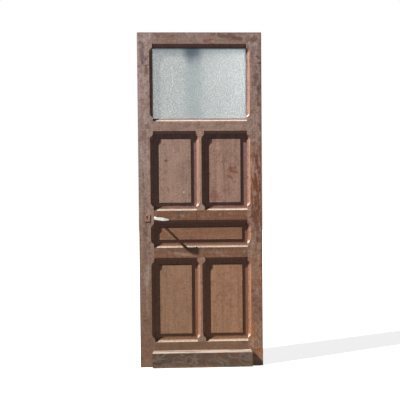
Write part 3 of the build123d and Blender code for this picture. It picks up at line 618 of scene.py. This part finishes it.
# Painted shade: the downward-facing side of the grip and the end of its tip are painted grey
painted_underside_shade = lever_metal.rise(lever_metal.parts(lever_metal.facing)[2], 0.3, -0.5)
painted_grip_shade = painted_underside_shade * 0.7 + lever_metal.rise(lever_metal.x, -0.605, -0.565) * 0.3
polish = lever_metal.mix(haze, paint(206, 204, 198), paint(232, 229, 222))
lever_metal.set(
    Base_Color=lever_metal.mix(painted_grip_shade, polish, paint(98, 95, 92)),
    Metallic=1.0,
    Roughness=0.30 + (haze - 0.5) * 0.25 + (scuff - 0.5) * 0.12,
    Normal=lever_metal.bump(scuff, 0.12, 0.0002),
)

CASTING_GRAIN = 0.0009
TIP_START = -0.574
TIP_BEND = 0.0035
BENT_LENGTH = 0.030
for side, inward in (("front", 1), ("back", -1)):
    lever = bpy.data.objects.new(f"{side}_lever_casting", leaf_parts[f"{side}_lever"].data.copy())
    bpy.context.collection.objects.link(lever)
    bpy.ops.object.select_all(action="DESELECT")
    lever.select_set(True)
    bpy.context.view_layer.objects.active = lever
    bpy.ops.object.mode_set(mode="EDIT")
    bpy.ops.mesh.select_all(action="SELECT")
    bpy.ops.mesh.remove_doubles(threshold=0.00001)
    bpy.ops.object.mode_set(mode="OBJECT")
    skin = lever.modifiers.new("skin", "REMESH")
    skin.mode = "VOXEL"
    skin.voxel_size = CASTING_GRAIN
    bpy.ops.object.modifier_apply(modifier="skin")
    ease = lever.modifiers.new("ease", "SMOOTH")
    ease.factor = 0.5
    ease.iterations = 14
    bpy.ops.object.modifier_apply(modifier="ease")

    # The grip's tip is bent on towards the door
    for point in lever.data.vertices:
        point.select = point.co.x > TIP_START
    bpy.ops.object.mode_set(mode="EDIT")
    bpy.ops.mesh.select_mode(type="VERT")
    bpy.ops.transform.translate(
        value=(0, TIP_BEND * inward, 0),
        use_proportional_edit=True,
        proportional_edit_falloff="SMOOTH",
        proportional_size=BENT_LENGTH,
    )
    bpy.ops.object.mode_set(mode="OBJECT")
    bpy.ops.object.shade_smooth()
    lever.data.materials.clear()
    lever.data.materials.append(lever_metal.material)
    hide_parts(f"{side}_lever")
    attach(lever, "handle")


# ---- Hinges ----
# Three lift-off hinges on the back of the hinge edge. Their leaves are let in flush and screwed to the edge of the
# stile, and the open knuckles drop over the pins of the frame's halves. They are bare steel, a little rusty.

SCREW_LINE = 0.006
for part, level in (("lower_hinge", 0.155), ("middle_hinge", 1.015), ("upper_hinge", 1.875)):
    dress(part, lock_steel)
    leaf_screws = [(-SCREW_SINK, SCREW_LINE, level + step) for step in (-0.03, 0, 0.03)]
    fix(slotted_head("leaf_screw"), f"{part}_screw", leaf_screws, (1, 0, 0), lock_steel)


# ---- Floor, light and camera ----
# A pale studio floor and surround. The key lamp comes from high on the left, almost along the door's face, so that
# the mouldings show; a soft fill comes from all round, and a second lamp lights the back and the hinge edge.

def neutral(level):
    return level, level, level, 1.0


FLOOR_SIZE = 14
FLOOR_MIDDLE = (-LEAF_WIDTH / 2, 1.0, 0)
FLOOR_BOUNCE = 0.05  # what the floor returns to the door
FLOOR_SHOWN = 0.30  # what the camera sees of it, besides its glow
FLOOR_GLOW = 0.74
bpy.ops.object.select_all(action="DESELECT")
bpy.ops.mesh.primitive_plane_add(size=FLOOR_SIZE, location=FLOOR_MIDDLE)
floor = bpy.context.object
floor.name = "floor"
studio = Finish("studio_floor")
path = studio.node("ShaderNodeLightPath").socket.node
seen = Wire(studio, path.outputs["Is Camera Ray"])
for ray in ("Is Glossy Ray", "Is Transmission Ray"):
    seen = seen.reckon("MAXIMUM", seen, Wire(studio, path.outputs[ray]))
studio.set(
    Base_Color=studio.mix(seen, neutral(FLOOR_BOUNCE), neutral(FLOOR_SHOWN)),
    Roughness=1.0,
    Specular_IOR_Level=0.0,
    Emission_Color=studio.mix(seen, neutral(0.0), neutral(FLOOR_GLOW)),
    Emission_Strength=1.0,
)
floor.data.materials.append(studio.material)

SOFT_FILL = 0.06
WHITE = 1.0
world = bpy.data.worlds.new("surround")
bpy.context.scene.world = world
world.use_nodes = True
sky = world.node_tree
background = sky.nodes["Background"]
background.inputs["Color"].default_value = neutral(1.0)
rays = sky.nodes.new("ShaderNodeLightPath")
seen = rays.outputs["Is Camera Ray"]
for ray in ("Is Glossy Ray", "Is Transmission Ray"):
    either = sky.nodes.new("ShaderNodeMath")
    either.operation = "MAXIMUM"
    sky.links.new(seen, either.inputs[0])
    sky.links.new(rays.outputs[ray], either.inputs[1])
    seen = either.outputs[0]
strength = sky.nodes.new("ShaderNodeMapRange")
strength.inputs["To Min"].default_value = SOFT_FILL
strength.inputs["To Max"].default_value = WHITE
sky.links.new(seen, strength.inputs["Value"])
sky.links.new(strength.outputs[0], background.inputs["Strength"])

# Each lamp with the way its light travels, its strength and its spread in degrees
lamps = (("key", (0.69, 0.17, -0.705), 15.6, 1.0), ("back", (-0.5, -0.75, -0.42), 2.6, 20))
for name, travel, energy, spread in lamps:
    aim = Vector(travel).to_track_quat("-Z", "Y").to_euler()
    bpy.ops.object.light_add(type="SUN", location=(-2, -2, 3), rotation=aim)
    lamp = bpy.context.object
    lamp.name = f"{name}_lamp"
    lamp.data.energy = energy
    lamp.data.angle = math.radians(spread)

CAMERA_PLACE = (-0.4214, -2.122, 1.0534)
CAMERA_TURN = [math.radians(turn) for turn in (89.07, 0.512, -1.165)]
CAMERA_LENS = 31.14
bpy.ops.object.camera_add(location=CAMERA_PLACE, rotation=CAMERA_TURN)
camera = bpy.context.object
camera.data.lens = CAMERA_LENS
bpy.context.scene.camera = camera
bpy.context.scene.view_settings.view_transform = "Standard"
